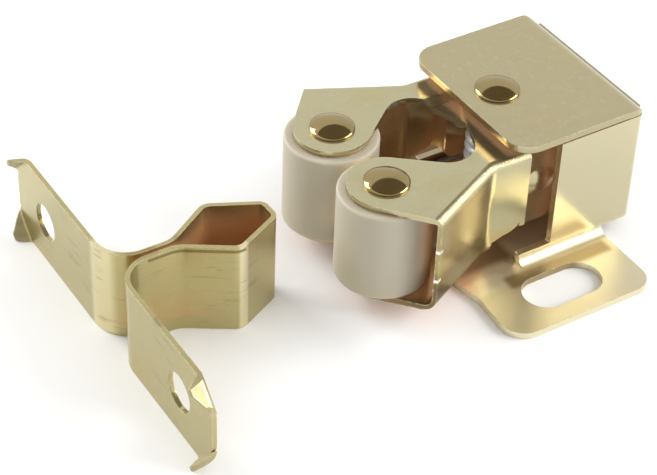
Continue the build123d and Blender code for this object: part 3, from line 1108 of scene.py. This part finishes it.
@dataclass
class TorsionSpring:
    """The coil round the pivot, in two halves, each for the arm that it pushes; neither half is
    attached to a body.
    """

    shop: Workshop
    wire: SpringWire
    wire_radius: float = 0.45 * MM
    coil_radius: float = 2.4 * MM
    pitch: float = 1.2 * MM
    turns: float = 5.25
    foot: float = 5.3 * MM
    leg: float = 5.9 * MM
    leg_steps: int = 12
    start_angle: float = math.radians(-135)
    around: int = 14
    per_turn: int = 40
    tip: float = 0.08 * MM
    held: float = 1.1 * MM

    def build(self) -> None:
        """Builds and dresses both halves."""
        material = self.wire.make(self.shop.shelf)
        low = self.foot + self.held
        high = self.foot + self.pitch * self.turns - self.held
        halves = (
            ("lower_spring_half", self.lower_line(), "left_arm_body", low),
            ("upper_spring_half", self.upper_line(), "right_arm_body", high),
        )
        for name, line, body, end in halves:
            piece = self.tube(name, line)
            piece.data.materials.append(material)
            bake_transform(piece)
            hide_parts("torsion_spring")
            faces = len(piece.data.polygons)
            log.info("%s: %d faces, bends from catch_body to %s", name, faces, body)

    def coil_point(self, turn: float) -> Vector:
        """Returns the wire's centre after a number of turns."""
        angle, radius = self.start_angle + 2 * math.pi * turn, self.coil_radius
        place = (radius * math.cos(angle), radius * math.sin(angle), self.foot + self.pitch * turn)
        return Vector(place)

    def lower_line(self) -> list[Vector]:
        """Returns the centre line from the lower leg's tip to the coil's middle."""
        start, steps = self.coil_point(0.0), self.leg_steps
        away = Vector((-1.0, 1.0, 0.0)).normalized()
        line = [start + away * self.leg * (1 - step / steps) for step in range(steps)]
        count = int(self.per_turn * self.turns / 2)
        line.extend(self.coil_point(self.turns / 2 * step / count) for step in range(count + 1))
        return line

    def upper_line(self) -> list[Vector]:
        """Returns the centre line from the coil's middle to the upper leg's tip."""
        count = int(self.per_turn * self.turns / 2)
        line = [self.coil_point(self.turns / 2 * (1 + step / count)) for step in range(count + 1)]
        end, steps = self.coil_point(self.turns), self.leg_steps
        away = Vector((1.0, 1.0, 0.0)).normalized()
        line.extend(end + away * self.leg * (step + 1) / steps for step in range(steps))
        return line

    def tube(self, name: str, line: list[Vector]) -> Piece:
        """Makes a round wire along a centre line, its two ends eased.

        Args:
            name: the new piece's name.
            line: the points of the centre line.

        Returns:
            The new piece, still riding on nothing.
        """
        vertices: list[Vector] = []
        faces: list[tuple[int, ...]] = []
        side = Vector((0.0, 0.0, 1.0))
        last, around = len(line) - 1, self.around
        for index, point in enumerate(line):
            ahead = line[min(index + 1, last)] - line[max(index - 1, 0)]
            ahead.normalize()
            up = (side - ahead * side.dot(ahead)).normalized()
            across = ahead.cross(up)
            radius = self.wire_radius - self.tip if index in (0, last) else self.wire_radius
            vertices.extend(point + (across * x + up * y) * radius for x, y in circle(around))
        for first in range(0, last * around, around):
            second = first + around
            for step in range(around):
                after = (step + 1) % around
                faces.append((first + step, first + after, second + after, second + step))
        faces.append(tuple(range(around)))
        faces.append(tuple(last * around + step for step in reversed(range(around))))
        return self.shop.from_lists(name, vertices, faces)


@dataclass(frozen=True)
class SoftLamp:
    """A square soft lamp: its place and size are in metres and its power in watts."""

    name: str
    place: Point
    size: float
    power: float

    def hang(self, target: Point) -> None:
        """Hangs the lamp.

        Args:
            target: the point that it faces.
        """
        data = bpy.data.lights.new(self.name, "AREA")
        data.shape = "SQUARE"
        data.size = self.size
        data.energy = self.power
        lamp = bpy.data.objects.new(self.name, data)
        bpy.context.scene.collection.objects.link(lamp)
        lamp.location = self.place
        ahead = Vector(target) - Vector(self.place)
        lamp.rotation_euler = ahead.to_track_quat("-Z", "Y").to_euler()


@dataclass
class Studio:
    """Floor, lamps, sky and the dim canopy that the metal mirrors."""

    shop: Workshop
    floor_size: float = 1.6
    floor_drop: float = 0.00002
    floor_tone: Tone = Tone(0.86, 0.86, 0.86)
    sky_strength: float = 0.78
    canopy_radius: float = 0.317
    canopy_steps: int = 64
    canopy_place: Point = (0.09, 0.06, 0.30)
    canopy_tone: Tone = Tone(0.175, 0.148, 0.118)
    target: Point = (0.0, -0.014, 0.006)
    lamps: tuple[SoftLamp, ...] = (
        SoftLamp("key_lamp", (0.243, 0.347, 0.225), 0.34, 2.5),
        SoftLamp("fill_lamp", (-0.349, -0.226, 0.235), 0.28, 1.8),
    )

    def build(self) -> None:
        """Builds the whole studio."""
        self.floor()
        self.sky()
        self.ceiling()
        for lamp in self.lamps:
            lamp.hang(self.target)

    def board(
        self, name: str, corners: list[Point], tone: Tone, roughness: float, gloss: float
    ) -> Piece:
        """Makes one flat board with a plain material.

        Args:
            name: the name of the board and its material.
            corners: its corner points, in metres.
            tone: its colour.
            roughness: how dull it is.
            gloss: the strength of what it mirrors.

        Returns:
            The board.
        """
        mesh = bpy.data.meshes.new(name)
        mesh.from_pydata(corners, [], [tuple(range(len(corners)))])
        bench = FinishBench(name)
        bench.fill(bench.shader, Base_Color=tone, Roughness=roughness, Specular_IOR_Level=gloss)
        mesh.materials.append(bench.material)
        return self.shop.linked(name, mesh)

    def floor(self) -> None:
        """Lays the plain pale floor, a hair below the part."""
        half = self.floor_size / 2
        corners = [(-half, -half, 0.0), (half, -half, 0.0), (half, half, 0.0), (-half, half, 0.0)]
        floor = self.board("studio_floor", corners, self.floor_tone, 0.9, 0.1)
        floor.location.z = -self.floor_drop

    def sky(self) -> None:
        """Sets a white sky for the camera and for mirror rays, and a dimmer one for lighting."""
        world = bpy.data.worlds.new("studio_sky")
        world.use_nodes = True
        bpy.context.scene.world = world
        world.node_tree.nodes.clear()
        bench = NodeBench(world.node_tree)
        rays = bench.add("ShaderNodeLightPath").outputs
        seen = bench.maths("MAXIMUM", rays["Is Camera Ray"], rays["Is Glossy Ray"])
        seen = bench.maths("MAXIMUM", seen, rays["Is Transmission Ray"])
        strength = bench.add("ShaderNodeMapRange")
        bench.fill(strength, Value=seen, To_Min=self.sky_strength, To_Max=1.0)
        light = bench.add("ShaderNodeBackground")
        bench.fill(light, Color=Tone(1.0, 1.0, 1.0), Strength=strength.outputs["Result"])
        bench.line_up(bench.add("ShaderNodeOutputWorld"), (light.outputs[0],))

    def ceiling(self) -> None:
        """Hangs a dim round canopy overhead, which only the polished metal mirrors."""
        radius = self.canopy_radius
        corners = [(radius * x, radius * y, 0.0) for x, y in circle(self.canopy_steps)]
        card = self.board("dark_card", corners, self.canopy_tone, 1.0, 0.0)
        card.location = self.canopy_place
        for rays in ("camera", "diffuse", "shadow", "transmission"):
            setattr(card, f"visible_{rays}", False)


@dataclass
class PhotoCamera:
    """The camera fitted to the photograph; its place is in millimetres."""

    place: Point = (131.28, -105.84, 135.01)
    right: Point = (0.5258, 0.8501, 0.0307)
    down: Point = (0.5566, -0.3165, -0.7681)
    focal_pixels: float = 2000.0
    image_width: float = 657.0
    sensor_width: float = 36.0
    clip_start: float = 0.005
    clip_end: float = 10.0

    def build(self) -> None:
        """Builds the camera and makes it the scene's camera."""
        data = bpy.data.cameras.new("photo_camera")
        data.sensor_fit = "HORIZONTAL"
        data.sensor_width = self.sensor_width
        data.lens = self.focal_pixels * self.sensor_width / self.image_width
        data.clip_start = self.clip_start
        data.clip_end = self.clip_end
        camera = bpy.data.objects.new("photo_camera", data)
        bpy.context.scene.collection.objects.link(camera)
        right = Vector(self.right).normalized()
        up = -Vector(self.down)
        up = (up - right * up.dot(right)).normalized()
        back = right.cross(up)
        turn = Matrix((right, up, back)).transposed().to_4x4()
        camera.matrix_world = Matrix.Translation(Vector(self.place) * MM) @ turn
        bpy.context.scene.camera = camera


def main() -> None:
    """Builds every piece of the catch in order."""
    logging.basicConfig(level=logging.INFO, format="%(name)s %(message)s")
    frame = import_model()
    bpy.context.scene.view_settings.view_transform = "Standard"
    shop = Workshop(frame, EffectShelf())
    PhotoCamera().build()
    Studio(shop).build()
    case_sheet = PlatedSheet(
        "satin_brass_case",
        main=Tone(0.452, 0.398, 0.238),
        # The inside tone and metal paint brown shade deep in the folds.
        painted_shade_tone=Tone(0.660, 0.385, 0.185),
        painted_shade_metal=0.22,
        zones=CASE_ZONES,
    )
    arm_sheet = PlatedSheet(
        "satin_brass_arm",
        main=Tone(0.500, 0.457, 0.278),
        warm=Tone(0.50, 0.44, 0.24),
        fold_crush=0.00007,
        press_dents=0.00003,
        # The inside tone and metal paint brown shade deep in the folds.
        painted_shade_tone=Tone(0.850, 0.470, 0.220),
        painted_shade_metal=0.22,
        zones=ARM_ZONES,
    )
    strike_sheet = PlatedSheet(
        "satin_brass_strike",
        main=Tone(0.478, 0.418, 0.205),
        warm=Tone(0.50, 0.41, 0.18),
        pale=Tone(0.57, 0.52, 0.32),
        # The bare tone is the rubbed edges' wear and their painted sheen.
        bare_and_sheen=Tone(0.60, 0.56, 0.37),
        grain=Grain.ALONG_Z,
        streaks=0.55,
        zones=STRIKE_ZONES,
    )
    brass = PolishedHead("polished_brass_rivet")
    nylon = NaturalNylon("natural_nylon")
    Case(shop, case_sheet).build()
    PivotRivet(shop, brass).build()
    for side in Side:
        RollerArm(shop, side, arm_sheet, nylon, brass).build()
    TorsionSpring(shop, SpringWire("bright_spring_wire")).build()
    SpearStrike(shop, strike_sheet).build()
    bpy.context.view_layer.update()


if __name__ == "__main__":
    main()
